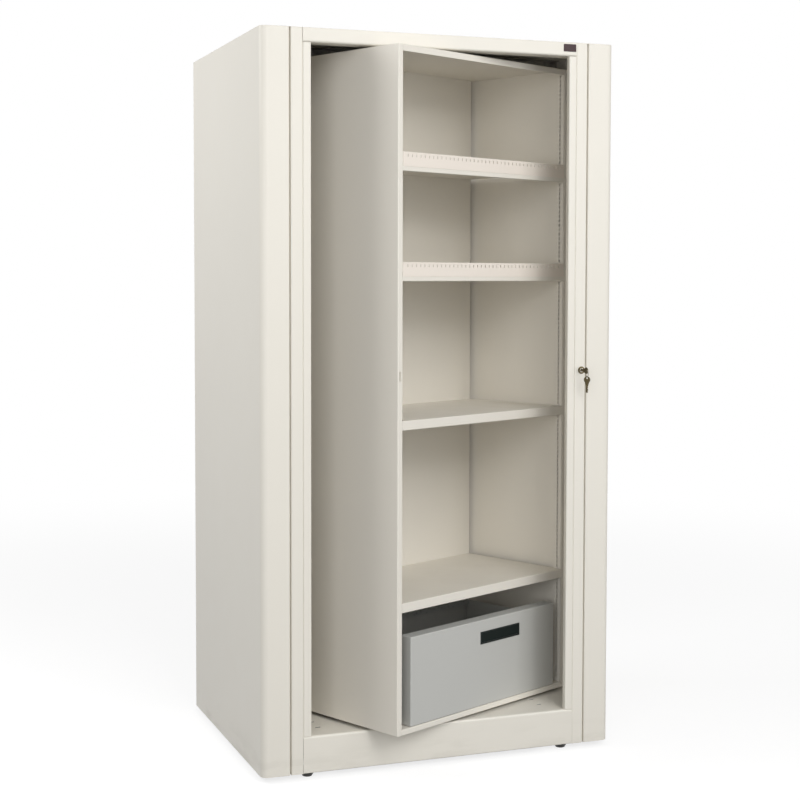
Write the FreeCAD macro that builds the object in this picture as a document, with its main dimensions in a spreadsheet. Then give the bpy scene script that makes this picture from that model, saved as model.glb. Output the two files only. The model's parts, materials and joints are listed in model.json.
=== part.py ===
import FreeCAD, Part
import math
import os
from types import SimpleNamespace

import Sketcher

# Rotary filing cabinet: a square stack of shelves turns on a ball turntable inside a sheet-metal housing.
# Origin at the middle of the footprint on the ground, +Z up, front at -Y.

SIZES = {
    # housing
    "housingWidth": 1000, "housingDepth": 720, "housingHeight": 1930, "footHeight": 15,
    "skin": 1.2, "cornerRadius": 18, "bendRadius": 3, "returnWidth": 76, "hemDepth": 25,
    "jambGap": 3.5, "jambWidth": 32.5, "joggleDepth": 10, "jambDepth": 35, "stripWidth": 22, "stripDepth": 14,
    "headerHeight": 37, "headerDepth": 40, "headerLip": 12, "edgeRadius": 6, "lidFlange": 25,
    "baseHeight": 97, "baseTopDepth": 20, "baseBottomDepth": 12,
    "floorThickness": 1.5, "floorSlotLength": 14, "floorSlotWidth": 9, "floorSlotAcross": 325,
    "floorSlotNear": 235, "floorSlotPitch": 50, "floorSlotInset": 80,
    "channelHeight": 40, "channelWidth": 36, "channelSkin": 2, "joistSpacing": 240,
    "screwRadius": 2, "screwHeadRadius": 4, "screwHeadHeight": 2.5, "screwReach": 8, "screwClearance": 0.2,
    "screwRise": 185, "screwDrop": 180,
    # feet
    "gussetThickness": 3, "gussetLength": 90, "gussetDepth": 60, "gussetCut": 25,
    "footRadius": 17.5, "footTread": 12.5, "footGap": 2, "footSetback": 32, "stemRadius": 5, "stemSeat": 6,
    "stemHeight": 45, "nutHeight": 8, "nutAcross": 17, "threadClearance": 0.2,
    # turntable
    "plateRadius": 145, "plateThickness": 3, "plateGap": 3.2, "ballCircle": 120, "ballRadius": 3,
    "ballClearance": 0.05, "ballCount": 24, "cageThickness": 1.6, "cageWidth": 14, "cageClearance": 0.15,
    # upper pivot
    "beamWidth": 60, "beamFlange": 20, "beamSkin": 2, "pinRadius": 10, "pinHeadRadius": 18,
    "pinHeadHeight": 8, "pinReach": 25,
    "bushClearance": 0.06, "bushWall": 4, "bushLength": 16, "bushFlange": 6, "bushHead": 3,
    # rotor, drawn square to its own axes and turned as a whole
    "restTurn": 25, "sweepGap": 6, "headerGap": 7, "flangeWidth": 16, "pieceGap": 0.5,
    "topLip": 17, "panDepth": 14, "panJoistWidth": 40, "panJoistSpacing": 180,
    "postWidth": 12, "postDepth": 25, "postSetback": 5, "postSkin": 1.5,
    "slotPitch": 12.7, "slotWidth": 4, "slotHeight": 8,
    "shelfSkin": 1, "shelfLip": 25, "shelfHem": 10, "shelfBend": 2,
    "drawerTierSteps": 25, "tallTierSteps": 37, "lowerBinderSteps": 30, "upperBinderSteps": 22,
    "fileLipBare": 12, "fileLipHeight": 37, "fileLipHem": 6, "fileSlotWidth": 3, "fileSlotHeight": 7,
    "fileSlotPitch": 16, "fileSlotDrop": 6, "dividerSkin": 0.8, "dividerFoot": 12,
    "clipReach": 10, "clipLeaf": 14, "clipWidth": 14, "clipSkin": 1.2, "tongueClearance": 0.4,
    "tongueReach": 3, "strikeWidth": 6, "strikeHeight": 24,
    # drawer
    "drawerMargin": 50, "drawerHeight": 235, "drawerDepth": 330, "drawerGap": 1, "drawerSkin": 1.2,
    "frontFold": 36, "frontBend": 2.5, "boxRise": 5, "boxHeight": 190, "railThickness": 3, "railHeight": 14,
    "railInset": 6, "slideSpace": 15, "slideSkin": 1.5, "slideHeight": 45, "slideRise": 110, "slideGap": 1,
    "slideLength": 296, "supportHeight": 160,
    "labelWidth": 165, "labelHeight": 34, "labelBorder": 4, "labelDrop": 32, "labelShift": 60,
    "labelThickness": 1.6, "cardThickness": 0.8, "cardClearance": 0.2,
    # name plate, lock and keys
    "badgeWidth": 37, "badgeHeight": 20, "badgeInset": 3, "badgeDrop": 5, "badgeThickness": 1.5,
    "lockHeight": 1046, "lockOffset": 20, "bezelRadius": 10, "bezelHeight": 3, "barrelRadius": 7.5,
    "barrelLength": 16, "barrelClearance": 0.2, "lockNutAcross": 18, "lockNutHeight": 4,
    "plugRadius": 5.5, "plugClearance": 0.05, "camGap": 0.5, "tailRadius": 4, "tailLength": 5,
    "camThickness": 2, "camWidth": 14, "camLength": 76, "camClearance": 0.1, "camWindow": 8,
    "keyThickness": 2, "keyWidth": 8, "keyDepth": 16, "keyNeck": 17, "keyClearance": 0.2,
    "bowRadius": 9, "bowHole": 2.6, "bowHoleInset": 4.4, "ringRadius": 8, "wireRadius": 0.9,
    "ringClearance": 0.1, "spareBlade": 27,
}

doc = FreeCAD.newDocument("RotaryFile")
sheet = doc.addObject("Spreadsheet::Sheet", "Sizes")
for row, (name, number) in enumerate(SIZES.items(), start=1):
    sheet.set(f"A{row}", name)
    sheet.set(f"B{row}", str(number))
    sheet.setAlias(f"B{row}", name)
doc.recompute()


class Size:
    """A length with both its number and the sheet expression that gives it."""

    def __init__(self, number, text):
        self.number = float(number)
        self.text = text

    def __float__(self):
        return self.number

    def __add__(self, other):
        return join(self, "+", other, self.number + float(other))

    def __radd__(self, other):
        return join(other, "+", self, float(other) + self.number)

    def __sub__(self, other):
        return join(self, "-", other, self.number - float(other))

    def __rsub__(self, other):
        return join(other, "-", self, float(other) - self.number)

    def __mul__(self, other):
        return join(self, "*", other, self.number * float(other))

    __rmul__ = __mul__

    def __truediv__(self, other):
        return join(self, "/", other, self.number / float(other))


def wording(value):
    return value.text if isinstance(value, Size) else repr(float(value))


def join(first, sign, second, number):
    return Size(number, f"({wording(first)} {sign} {wording(second)})")


def whole(value):
    return Size(math.floor(float(value)), f"floor({wording(value)})")


v = SimpleNamespace(**{name: Size(number, f"Sizes.{name}") for name, number in SIZES.items()})
pieces = []
cuts = []


def bind(thing, prop, value):
    thing.setExpression(prop, wording(value))


def newPiece(label, turned=False):
    """A body; one that belongs to the rotor is turned with it about the vertical axis."""
    piece = doc.addObject("PartDesign::Body", label)
    piece.Label = label
    piece.AllowCompound = True
    if turned:
        upright = FreeCAD.Rotation(FreeCAD.Vector(0, 0, 1), float(v.restTurn))
        piece.Placement = FreeCAD.Placement(FreeCAD.Vector(), upright)
        bind(piece, "Placement.Rotation.Angle", v.restTurn)
    pieces.append(piece)
    return piece


def originItem(piece, role):
    return next(item for item in piece.Origin.OriginFeatures if item.Role == role)


class Circle:
    def __init__(self, x, y, radius):
        self.x, self.y, self.radius = x, y, radius


def heading(start, end):
    across = float(end[0]) - float(start[0])
    along = float(end[1]) - float(start[1])
    length = math.hypot(across, along)
    return across / length, along / length


def shifted(value, step, amount):
    """value moved by amount along one axis, where step is -1, 0 or 1."""
    step = round(step)
    return value if step == 0 else value + amount if step > 0 else value - amount


def cornerArc(before, corner, after, radius):
    """Start, end and turn (+1 left) of the arc that rounds a square corner."""
    a = heading(before, corner)
    b = heading(corner, after)
    start = (shifted(corner[0], -a[0], radius), shifted(corner[1], -a[1], radius))
    end = (shifted(corner[0], b[0], radius), shifted(corner[1], b[1], radius))
    centre = (shifted(start[0], b[0], radius), shifted(start[1], b[1], radius))
    return start, end, centre, a[0] * b[1] - a[1] * b[0]


def spot(point):
    return FreeCAD.Vector(float(point[0]), float(point[1]), 0)


def drawCircle(drawing, circle):
    ring = Part.Circle(spot((circle.x, circle.y)), FreeCAD.Vector(0, 0, 1), float(circle.radius))
    index = drawing.addGeometry(ring)
    holds = [("DistanceX", (-1, 1, index, 3), circle.x), ("DistanceY", (-1, 1, index, 3), circle.y),
             ("Radius", (index,), circle.radius)]
    return [], holds


def drawLoop(drawing, points):
    """Closed outline; a point is (x, y), or (x, y, radius) where a square corner is rounded."""
    ends, holds = [], []
    for i, corner in enumerate(points):
        if len(corner) < 3:
            ends.append((corner, corner, None, None))
            continue
        start, end, centre, turn = cornerArc(points[i - 1], corner, points[(i + 1) % len(points)], corner[2])
        first, last = (start, end) if turn > 0 else (end, start)
        angles = [math.atan2(*(spot(p) - spot(centre))[1::-1]) for p in (first, last)]
        if angles[1] < angles[0]:
            angles[1] += 2 * math.pi
        circle = Part.Circle(spot(centre), FreeCAD.Vector(0, 0, 1), float(corner[2]))
        arc = drawing.addGeometry(Part.ArcOfCircle(circle, *angles))
        holds.append(("Radius", (arc,), corner[2]))
        ends.append((start, end, (arc, 1 if turn > 0 else 2), (arc, 2 if turn > 0 else 1)))
    joints = []
    lines = []
    for i, here in enumerate(ends):
        there = ends[(i + 1) % len(ends)]
        lines.append(drawing.addGeometry(Part.LineSegment(spot(here[1]), spot(there[0]))))
    for i, (start, end, arcStart, arcEnd) in enumerate(ends):
        arriving, leaving = (lines[i - 1], 2), (lines[i], 1)
        if arcStart is None:
            joints.append((arriving, leaving))
        else:
            joints += [(arriving, arcStart), (arcEnd, leaving)]
            holds += [("DistanceX", (-1, 1, *arriving), start[0])]
            holds += [("DistanceY", (-1, 1, *arriving), start[1])]
        holds += [("DistanceX", (-1, 1, *leaving), end[0]), ("DistanceY", (-1, 1, *leaving), end[1])]
    return joints, holds


def newSketch(piece, plane, height, loops, across=0, along=0):
    """Sketch on one of the body's origin planes, moved to a height on that plane's own axis."""
    drawing = piece.newObject("Sketcher::SketchObject", piece.Name + "Sketch")
    drawing.AttachmentSupport = (originItem(piece, plane + "_Plane"), "")
    drawing.MapMode = "FlatFace"
    bind(drawing, "AttachmentOffset.Base.x", across)
    bind(drawing, "AttachmentOffset.Base.y", along)
    bind(drawing, "AttachmentOffset.Base.z", -1 * height if plane == "XZ" else height)
    for loop in loops:
        joints, holds = drawCircle(drawing, loop) if isinstance(loop, Circle) else drawLoop(drawing, loop)
        rules = [Sketcher.Constraint("Coincident", *a, *b) for a, b in joints]
        rules += [Sketcher.Constraint(kind, *where, float(value)) for kind, where, value in holds]
        numbers = drawing.addConstraint(rules)
        for number, (kind, where, value) in zip(numbers[len(joints):], holds):
            if isinstance(value, Size):
                drawing.setExpression(f"Constraints[{number}]", value.text)
    return drawing


def pad(piece, plane, loops, low, high):
    """Adds the loops from low to high along the plane's axis (Z for XY, Y for XZ, X for YZ)."""
    drawing = newSketch(piece, plane, high if plane == "XZ" else low, loops)
    feature = piece.newObject("PartDesign::Pad", piece.Name + "Pad")
    feature.Profile = drawing
    bind(feature, "Length", high - low)
    return feature


def pocket(piece, plane, loops, low, high):
    """Cuts the loops away from low to high along the plane's axis."""
    drawing = newSketch(piece, plane, low if plane == "XZ" else high, loops)
    feature = piece.newObject("PartDesign::Pocket", piece.Name + "Pocket")
    feature.Profile = drawing
    bind(feature, "Length", high - low)
    cuts.append(feature)
    return feature


def turned(piece, plane, loops, height, across=0, along=0):
    """Turns the loops about the sketch's upright axis (Z for XZ, Y for XY)."""
    drawing = newSketch(piece, plane, height, loops, across, along)
    feature = piece.newObject("PartDesign::Revolution", piece.Name + "Turning")
    feature.Profile = drawing
    feature.ReferenceAxis = (drawing, ["V_Axis"])
    feature.Angle = 360
    return feature


def row(piece, feature, axis, length, count):
    pattern = piece.newObject("PartDesign::LinearPattern", piece.Name + "Row")
    pattern.Originals = [feature]
    pattern.Direction = (originItem(piece, axis), [""])
    bind(pattern, "Length", length)
    bind(pattern, "Occurrences", count)
    piece.Tip = pattern


def circuit(piece, feature, count):
    pattern = piece.newObject("PartDesign::PolarPattern", piece.Name + "Circuit")
    pattern.Originals = [feature]
    pattern.Axis = (originItem(piece, "Z_Axis"), [""])
    pattern.Angle = 360
    bind(pattern, "Occurrences", count)
    piece.Tip = pattern


def box(x0, x1, y0, y1):
    return [(x0, y0), (x1, y0), (x1, y1), (x0, y1)]


def flipX(loop):
    if isinstance(loop, Circle):
        return Circle(-1 * loop.x, loop.y, loop.radius)
    return [(-1 * p[0], *p[1:]) for p in loop]


def flipY(loop):
    if isinstance(loop, Circle):
        return Circle(loop.x, -1 * loop.y, loop.radius)
    return [(p[0], -1 * p[1], *p[2:]) for p in loop]


def fourWays(loop):
    return [loop, flipX(loop), flipY(loop), flipX(flipY(loop))]


def bothSides(loop):
    return [loop, flipX(loop)]


def folded(path, thickness):
    """Outline of a bent sheet lying on the left of the path; a third value is the outside bend radius."""
    ways = [heading(a, b) for a, b in zip(path, path[1:])]
    near, far = [], []
    for i, point in enumerate(path):
        a, b = ways[max(i - 1, 0)], ways[min(i, len(ways) - 1)]
        corner = 0 < i < len(path) - 1
        left = (-a[1] - b[1], a[0] + b[0]) if corner else (-a[1], a[0])
        offset = (shifted(point[0], left[0], thickness), shifted(point[1], left[1], thickness))
        bends = ((), ())
        if len(point) == 3:
            outside, inside = (point[2],), (point[2] - thickness,)
            bends = (outside, inside) if a[0] * b[1] - a[1] * b[0] > 0 else (inside, outside)
        near.append((*point[:2], *bends[0]))
        far.append((*offset, *bends[1]))
    return near + far[::-1]


def hexagon(x, y, across):
    """Six points with two flats facing along the first axis."""
    half = across / 2
    tip = across / math.sqrt(3)
    shoulder = tip / 2
    return [(x, y + tip), (x - half, y + shoulder), (x - half, y - shoulder), (x, y - tip),
            (x + half, y - shoulder), (x + half, y + shoulder)]


# Levels and planes shared by several pieces

side = v.housingWidth / 2
front = -1 * v.housingDepth / 2
frontInside = front + v.skin
bottom = v.footHeight
top = v.housingHeight
underLid = top - v.skin
returnEdge = side - v.returnWidth
jambOuter = returnEdge - v.jambGap
jambInner = jambOuter - v.jambWidth
opening = jambInner - v.stripWidth
headerBottom = top - v.headerHeight
baseTop = bottom + v.baseHeight
floorTop = baseTop - v.skin
floorUnder = floorTop - v.floorThickness
hemEnd = front + v.hemDepth
jambEnd = front + v.jambDepth
joggle = front + v.joggleDepth
floorEdge = front + v.edgeRadius
lowerPlateTop = floorTop + v.plateThickness
upperPlateUnder = lowerPlateTop + v.plateGap
rotorBottom = upperPlateUnder + v.plateThickness
rotorTop = headerBottom - v.headerGap
rotorSide = (side - v.skin - v.sweepGap) / math.sqrt(2)
rotorFront = -1 * rotorSide
endInside = rotorSide - v.skin
flangeEdge = rotorSide - v.flangeWidth
lipEnd = flangeEdge - v.pieceGap
panTop = rotorBottom + v.panDepth
panUnder = panTop - v.skin
roofUnder = rotorTop - v.skin
postFace = endInside - v.postWidth
postFront = rotorFront + v.postSetback
postRear = postFront + v.postDepth
slotMiddle = (postFront + postRear) / 2
lockX = jambInner + v.lockOffset
lockZ = v.lockHeight
shelfSteps = [v.drawerTierSteps]
for steps in (v.tallTierSteps, v.lowerBinderSteps, v.upperBinderSteps):
    shelfSteps.append(shelfSteps[-1] + steps)
shelfUnders = [rotorBottom + steps * v.slotPitch for steps in shelfSteps]
shelfTops = [under + v.shelfLip for under in shelfUnders]
lowScrew, highScrew = bottom + v.screwRise, top - v.screwDrop
screwLevels = [lowScrew, (lowScrew + highScrew) / 2, highScrew]
screwY = (joggle + v.skin + hemEnd) / 2


# Housing

def sidePanel(label, mirror):
    bend, corner = v.bendRadius, v.cornerRadius
    path = [(-1 * returnEdge, -1 * hemEnd), (-1 * returnEdge, -1 * front, bend),
            (-1 * side, -1 * front, corner), (-1 * side, front, corner),
            (-1 * returnEdge, front, bend), (-1 * returnEdge, hemEnd)]
    wall = folded(path, v.skin)
    piece = newPiece(label)
    pad(piece, "XY", [flipX(wall) if mirror else wall], bottom, underLid)
    radius = v.screwRadius + v.screwClearance
    screws = [Circle(y, z, radius) for z in screwLevels for y in (screwY, -1 * screwY)]
    outer, inner = returnEdge + 2 * v.skin, returnEdge - v.skin
    pocket(piece, "YZ", screws, *((inner, outer) if mirror else (-1 * outer, -1 * inner)))


def topPanel():
    piece = newPiece("top_panel")
    edge = v.cornerRadius
    lid = [(-1 * side, front, edge), (side, front, edge),
           (side, -1 * front, edge), (-1 * side, -1 * front, edge)]
    pad(piece, "XY", [lid], underLid, top)
    flange = box(side - 2 * v.skin, side - v.skin, front + edge, -1 * front - edge)
    pad(piece, "XY", bothSides(flange), underLid - v.lidFlange, underLid)


def header(label, rear):
    inner = front + v.headerDepth
    path = [(front, underLid), (front, headerBottom, v.edgeRadius),
            (inner, headerBottom, v.bendRadius), (inner, headerBottom + v.headerLip)]
    section = folded(path, v.skin)
    piece = newPiece(label)
    pad(piece, "YZ", [flipX(section) if rear else section], -1 * jambInner, jambInner)


def jambOutline():
    bend = v.bendRadius
    path = [(jambInner, jambEnd), (jambInner, front, bend), (jambOuter, front, bend), (jambOuter, joggle),
            (returnEdge, joggle), (returnEdge, jambEnd)]
    return folded(path, v.skin)


def jambs():
    """Bent posts beside the openings; the right front one takes the lock."""
    outline = jambOutline()
    radius = v.screwRadius + v.screwClearance
    right = (returnEdge - 2 * v.skin, returnEdge + v.skin)
    left = (-1 * right[1], -1 * right[0])
    behind = flipY(outline)
    for label, loops, y, hems in (("front_left_jamb", [flipX(outline)], screwY, [left]),
                                  ("front_right_jamb", [outline], screwY, [right]),
                                  ("rear_jambs", [behind, flipX(behind)], -1 * screwY, [left, right])):
        piece = newPiece(label)
        pad(piece, "XY", loops, bottom, underLid)
        for low, high in hems:
            pocket(piece, "YZ", [Circle(y, z, radius) for z in screwLevels], low, high)
        if label == "front_right_jamb":
            barrelHole = Circle(lockX, lockZ, v.barrelRadius + v.barrelClearance)
            pocket(piece, "XZ", [barrelHole], front - v.skin, frontInside + v.skin)
            camY = camFace + v.camThickness / 2
            sweep = lockZ - v.camLength - v.camWindow / 2
            window = box(camY - v.camWindow / 2, camY + v.camWindow / 2, sweep, lockZ + v.camWidth)
            pocket(piece, "YZ", [window], jambInner - v.skin, jambInner + 2 * v.skin)


def openingStrips():
    bend = v.bendRadius
    inner = front + v.stripDepth
    path = [(opening, inner), (opening, front, bend), (jambInner, front, bend), (jambInner, inner)]
    piece = newPiece("opening_strips")
    pad(piece, "XY", fourWays(folded(path, v.skin)), baseTop, headerBottom)


def base(label, rear):
    path = [(front + v.baseTopDepth, baseTop), (front, baseTop, v.edgeRadius), (front, bottom, v.bendRadius),
            (front + v.baseBottomDepth, bottom)]
    section = folded(path, v.skin)
    piece = newPiece(label)
    pad(piece, "YZ", [flipX(section) if rear else section], -1 * jambInner, jambInner)


def floorPlate():
    piece = newPiece("floor_plate")
    wing = jambEnd + v.pieceGap
    reach = side - v.skin
    corner = [(jambInner, floorEdge), (jambInner, wing), (reach, wing)]
    quarter = corner + flipY(corner)[::-1]
    pad(piece, "XY", [quarter + flipX(quarter)[::-1]], floorUnder, floorTop)
    length, width = v.floorSlotLength / 2, v.floorSlotWidth / 2
    x = v.floorSlotAcross
    inner = x - v.floorSlotInset
    near, far = -1 * v.floorSlotNear, -1 * v.floorSlotNear - v.floorSlotPitch
    slots = []
    for slotX, slotY in ((x, near), (x, far), (inner, near)):
        slots += fourWays(box(slotX - length, slotX + length, slotY - width, slotY + width))
    pocket(piece, "XY", slots, floorUnder - v.skin, floorTop + v.skin)


def floorChannels():
    """Two joists and two side rails, open downward, under the floor plate."""
    piece = newPiece("floor_channels")
    low = floorUnder - v.channelHeight

    def section(inner, outer):
        return folded([(outer, low), (outer, floorUnder), (inner, floorUnder), (inner, low)], v.channelSkin)

    half = v.channelWidth / 2
    joist = section(v.joistSpacing / 2 - half, v.joistSpacing / 2 + half)
    rail = section(side - v.skin - v.channelWidth, side - v.skin)
    pad(piece, "XZ", bothSides(joist), floorEdge, -1 * floorEdge)
    end = front + v.cornerRadius
    pad(piece, "XZ", bothSides(rail), end, -1 * end)


def frameScrews():
    """Screws through the side panels' hems into the jambs, heads in the hollow behind the front returns."""
    piece = newPiece("frame_screws")
    seat = returnEdge + v.skin
    for radius, low, high in ((v.screwRadius, seat - v.screwReach, seat),
                              (v.screwHeadRadius, seat, seat + v.screwHeadHeight)):
        discs = [Circle(y, z, radius) for z in screwLevels for y in (screwY, -1 * screwY)]
        pad(piece, "YZ", discs, low, high)
        pad(piece, "YZ", discs, -1 * high, -1 * low)


# Feet: a gusset in each corner takes the stem of a glide

footX = jambInner - v.footRadius - v.footGap
footY = front + v.footSetback
gussetUnder = bottom + v.skin
gussetTop = gussetUnder + v.gussetThickness


def feet():
    gussets = newPiece("corner_gussets")
    inner, outer = jambInner - v.gussetLength, jambInner
    near, far = front + v.bendRadius, front + v.gussetDepth
    plate = [(inner, near), (outer, near), (outer, far),
             (inner + v.gussetCut, far), (inner, far - v.gussetCut)]
    stemHole = Circle(footX, footY, v.stemRadius + v.threadClearance)
    pad(gussets, "XY", fourWays(plate) + fourWays(stemHole), gussetUnder, gussetTop)

    pads = newPiece("foot_pads")
    rim = v.footRadius
    bore = v.stemRadius + v.threadClearance
    glide = [(0, 0), (v.footTread, 0), (rim, v.footHeight - v.stemSeat), (rim, gussetUnder),
             (bore, gussetUnder), (bore, v.stemSeat), (0, v.stemSeat)]
    stems = newPiece("foot_stems")
    nuts = newPiece("foot_nuts")
    for x in (footX, -1 * footX):
        for y in (footY, -1 * footY):
            turned(pads, "XZ", [glide], y, x)
    pad(stems, "XY", fourWays(Circle(footX, footY, v.stemRadius)), v.stemSeat, v.stemHeight)
    nut = fourWays(hexagon(footX, footY, v.nutAcross)) + fourWays(stemHole)
    pad(nuts, "XY", nut, gussetTop, gussetTop + v.nutHeight)


# Turntable: balls run in facing grooves and carry the rotor

grooveHeight = (lowerPlateTop + upperPlateUnder) / 2


def turntable():
    groove = [Circle(v.ballCircle, grooveHeight, v.ballRadius + v.ballClearance)]
    for label, low, isTurned in (("turntable_lower_plate", floorTop, False),
                                 ("turntable_upper_plate", upperPlateUnder, True)):
        plate = newPiece(label, isTurned)
        pad(plate, "XY", [Circle(0, 0, v.plateRadius)], low, low + v.plateThickness)
        drawing = newSketch(plate, "XZ", 0, groove)
        channel = plate.newObject("PartDesign::Groove", label + "Groove")
        channel.Profile = drawing
        channel.ReferenceAxis = (drawing, ["V_Axis"])
        channel.Angle = 360
        cuts.append(channel)

    balls = newPiece("bearing_balls")
    radius = v.ballRadius
    drawing = newSketch(balls, "XZ", 0, [], v.ballCircle, grooveHeight)
    size = float(radius)
    arc = drawing.addGeometry(Part.ArcOfCircle(
        Part.Circle(FreeCAD.Vector(), FreeCAD.Vector(0, 0, 1), size), -math.pi / 2, math.pi / 2))
    chord = drawing.addGeometry(Part.LineSegment(FreeCAD.Vector(0, size, 0), FreeCAD.Vector(0, -size, 0)))
    rules = drawing.addConstraint([
        Sketcher.Constraint("Coincident", arc, 2, chord, 1),
        Sketcher.Constraint("Coincident", chord, 2, arc, 1),
        Sketcher.Constraint("Coincident", arc, 3, -1, 1), Sketcher.Constraint("Vertical", chord),
        Sketcher.Constraint("PointOnObject", chord, 1, -2), Sketcher.Constraint("Radius", arc, size)])
    drawing.setExpression(f"Constraints[{rules[-1]}]", radius.text)
    ball = balls.newObject("PartDesign::Revolution", "ball")
    ball.Profile = drawing
    ball.ReferenceAxis = (drawing, ["V_Axis"])
    ball.Angle = 360
    circuit(balls, ball, v.ballCount)

    cage = newPiece("bearing_cage")
    half = v.cageThickness / 2
    rings = [Circle(0, 0, v.ballCircle + v.cageWidth / 2), Circle(0, 0, v.ballCircle - v.cageWidth / 2)]
    pad(cage, "XY", rings, grooveHeight - half, grooveHeight + half)
    hole = Circle(v.ballCircle, 0, v.ballRadius + v.cageClearance)
    seat = pocket(cage, "XY", [hole], grooveHeight - v.cageThickness, grooveHeight + v.cageThickness)
    circuit(cage, seat, v.ballCount)


# Upper pivot: a pin hangs from a beam under the lid and runs in a bush in the rotor's roof

beamWebTop = headerBottom + v.beamSkin
roofHole = v.pinRadius + v.bushClearance + v.bushWall


def upperPivot():
    half = v.beamWidth / 2
    wing = half + v.beamFlange
    shoulder = underLid - v.beamSkin
    path = [(-1 * wing, shoulder), (-1 * half, shoulder), (-1 * half, headerBottom), (half, headerBottom),
            (half, shoulder), (wing, shoulder)]
    beam = newPiece("top_pivot_beam")
    end = side - 2 * v.skin
    pad(beam, "YZ", [folded(path, v.beamSkin)], -1 * end, end)
    hole = Circle(0, 0, v.pinRadius + v.screwClearance)
    pocket(beam, "XY", [hole], headerBottom - v.beamSkin, beamWebTop + v.beamSkin)

    pin = newPiece("pivot_pin")
    pad(pin, "XY", [Circle(0, 0, v.pinRadius)], headerBottom - v.pinReach, beamWebTop)
    pad(pin, "XY", [Circle(0, 0, v.pinHeadRadius)], beamWebTop, beamWebTop + v.pinHeadHeight)

    bush = newPiece("top_bush", True)
    bore = Circle(0, 0, v.pinRadius + v.bushClearance)
    pad(bush, "XY", [Circle(0, 0, roofHole), bore], rotorTop - v.bushLength, rotorTop)
    pad(bush, "XY", [Circle(0, 0, roofHole + v.bushFlange), bore], rotorTop, rotorTop + v.bushHead)


# Rotor

def endPanel(label, mirror):
    bend = v.bendRadius
    path = [(-1 * flangeEdge, -1 * rotorFront), (-1 * rotorSide, -1 * rotorFront, bend),
            (-1 * rotorSide, rotorFront, bend), (-1 * flangeEdge, rotorFront)]
    wall = folded(path, v.skin)
    piece = newPiece(label, True)
    pad(piece, "XY", [flipX(wall) if mirror else wall], rotorBottom, rotorTop)
    middle = rotorSide - v.flangeWidth / 2
    half = v.strikeWidth / 2
    low, high = lockZ - v.strikeHeight / 2, lockZ + v.strikeHeight / 2
    strike = box(-1 * middle - half, half - middle, low, high)
    cut = (rotorFront - v.skin, rotorFront + 2 * v.skin)
    if mirror:
        pocket(piece, "XZ", [flipX(strike)], -1 * cut[1], -1 * cut[0])
    else:
        pocket(piece, "XZ", [strike], *cut)


def lippedPlate(label, level, lip, bushed):
    """Plate that closes the rotor at its top or bottom, lips folded down at front and rear."""
    piece = newPiece(label, True)
    rear = -1 * rotorFront
    path = [(rear, level - lip), (rear, level, v.bendRadius), (rotorFront, level, v.bendRadius),
            (rotorFront, level - lip)]
    pad(piece, "YZ", [folded(path, v.skin)], -1 * lipEnd, lipEnd)
    edge = rotorFront + 2 * v.bendRadius
    pad(piece, "XY", [box(-1 * endInside, endInside, edge, -1 * edge)], level - v.skin, level)
    if bushed:
        pocket(piece, "XY", [Circle(0, 0, roofHole)], level - 2 * v.skin, level + v.skin)


def posts():
    piece = newPiece("rotor_posts", True)
    path = [(-1 * endInside, postFront), (-1 * postFace, postFront), (-1 * postFace, postRear),
            (-1 * endInside, postRear)]
    pad(piece, "XY", fourWays(folded(path, v.postSkin)), panTop, roofUnder)
    half, rise = v.slotWidth / 2, v.slotHeight / 2
    firstSlot = rotorBottom + 2.5 * v.slotPitch
    slot = box(slotMiddle - half, slotMiddle + half, firstSlot - rise, firstSlot + rise)
    cut = pocket(piece, "YZ", [slot, flipX(slot)], -1 * rotorSide, rotorSide)
    gaps = whole((roofUnder - v.slotHeight - firstSlot) / v.slotPitch)
    row(piece, cut, "Z_Axis", gaps * v.slotPitch, gaps + 1)


def shelves():
    rear = -1 * rotorFront
    bend = v.shelfBend
    for number, (under, level) in enumerate(zip(shelfUnders[::-1], shelfTops[::-1]), start=1):
        path = [(rear - v.shelfHem, under), (rear, under, bend), (rear, level, bend),
                (rotorFront, level, bend), (rotorFront, under, bend), (rotorFront + v.shelfHem, under)]
        piece = newPiece(f"shelf_{number}", True)
        pad(piece, "YZ", [folded(path, v.shelfSkin)], -1 * lipEnd, lipEnd)


def dividers():
    """Upright sheets on the rotor's middle line that stop the files of either face."""
    half = v.dividerSkin / 2
    levels = [panTop] + shelfTops
    ceilings = [level - v.shelfSkin for level in shelfTops] + [roofUnder]
    for number, (low, high) in enumerate(zip(levels[::-1], ceilings[::-1]), start=1):
        piece = newPiece(f"tier_divider_{number}", True)
        sheetPath = [(-1 * half, high), (-1 * half, low), (v.dividerFoot, low)]
        pad(piece, "YZ", [folded(sheetPath, v.dividerSkin)], -1 * lipEnd, lipEnd)
        if number == 1:
            clear = roofHole + v.bushFlange
            notch = box(-1 * clear, clear, headerBottom - v.pinReach - v.bushFlange, rotorTop)
            pocket(piece, "XZ", [notch], -1 * v.dividerSkin, v.dividerSkin)


def fileLips():
    """Raised lips on the front and rear edges of the two top shelves."""
    piece = newPiece("file_lips", True)
    face = rotorFront - v.shelfSkin
    windows = []
    for under in shelfUnders[2:]:
        low = under + v.fileLipBare
        high = low + v.fileLipHeight
        path = [(face + v.fileLipHem, high), (face, high, v.shelfBend), (face, low)]
        pad(piece, "YZ", bothSides(folded(path, v.shelfSkin)), -1 * lipEnd, lipEnd)
        slotTop = high - v.fileSlotDrop
        start = v.fileSlotPitch - lipEnd
        windows.append(box(start, start + v.fileSlotWidth, slotTop - v.fileSlotHeight, slotTop))
    cut = pocket(piece, "XZ", windows, face - v.shelfSkin, -1 * face + v.shelfSkin)
    gaps = whole((2 * lipEnd - 2 * v.fileSlotPitch) / v.fileSlotPitch)
    row(piece, cut, "X_Axis", gaps * v.fileSlotPitch, gaps + 1)


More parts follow.
